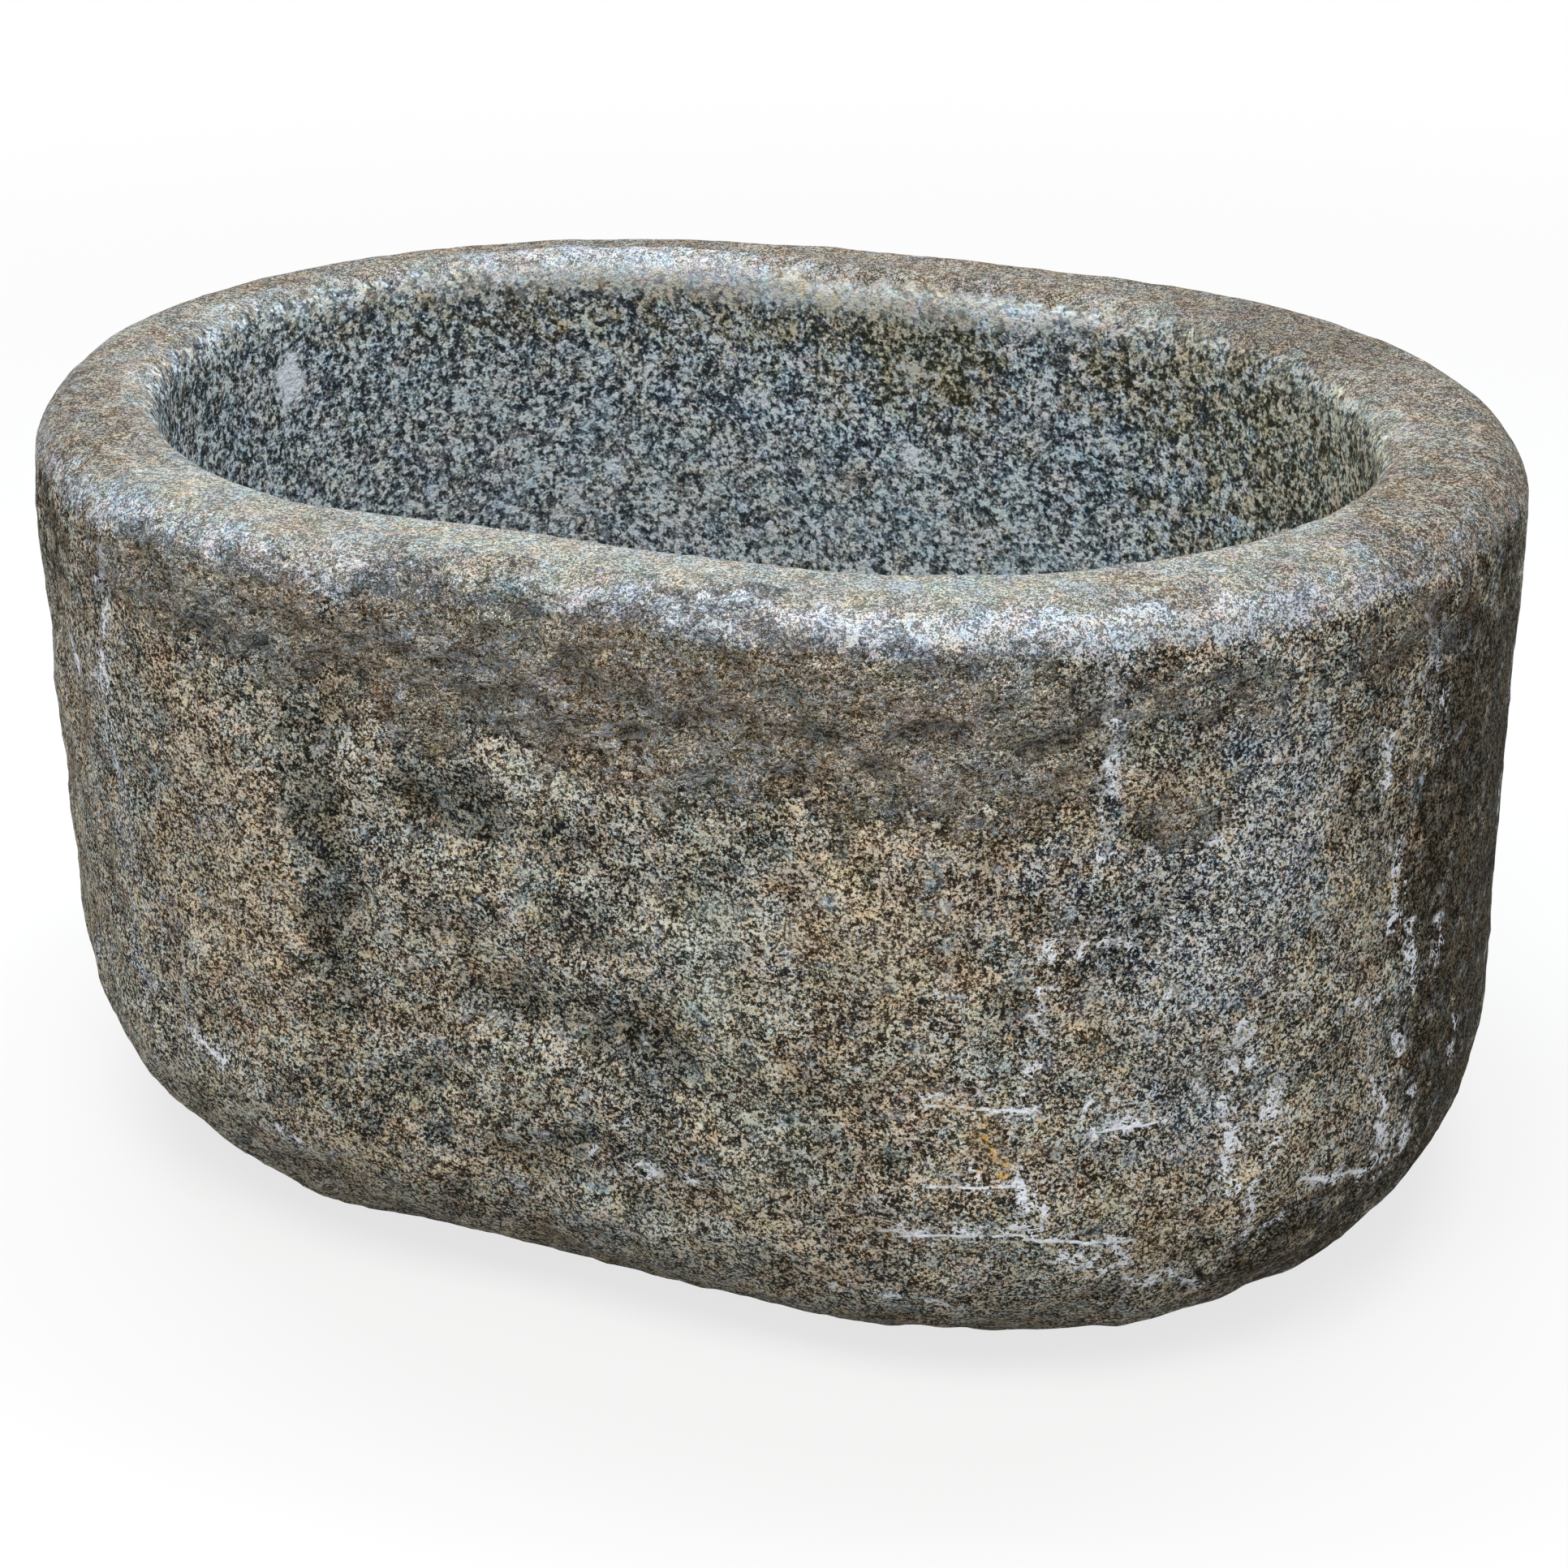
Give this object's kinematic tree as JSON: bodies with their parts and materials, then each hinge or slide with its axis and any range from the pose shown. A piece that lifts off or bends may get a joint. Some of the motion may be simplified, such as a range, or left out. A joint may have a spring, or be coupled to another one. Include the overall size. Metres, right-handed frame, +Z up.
{
  "type": "stone trough planter",
  "caption": "Oval planter hewn from one block of granite, with thick walls, a worn round rim, a deep oval hollow, a rounded foot and a drain hole.",
  "frame": {"origin": "middle of the sole, on the ground under the trough", "axes": "+X along the trough's length, +Y across it towards the back, +Z up out of the hollow"},
  "size_m": [0.9, 0.646, 0.475],
  "materials": {
    "granite": "hand-dressed and weathered granite, speckled grey inside the hollow, with a brown patina outside"
  },
  "bodies": {
    "root": {"stone_trough": "granite"}
  },
  "joints": []
}
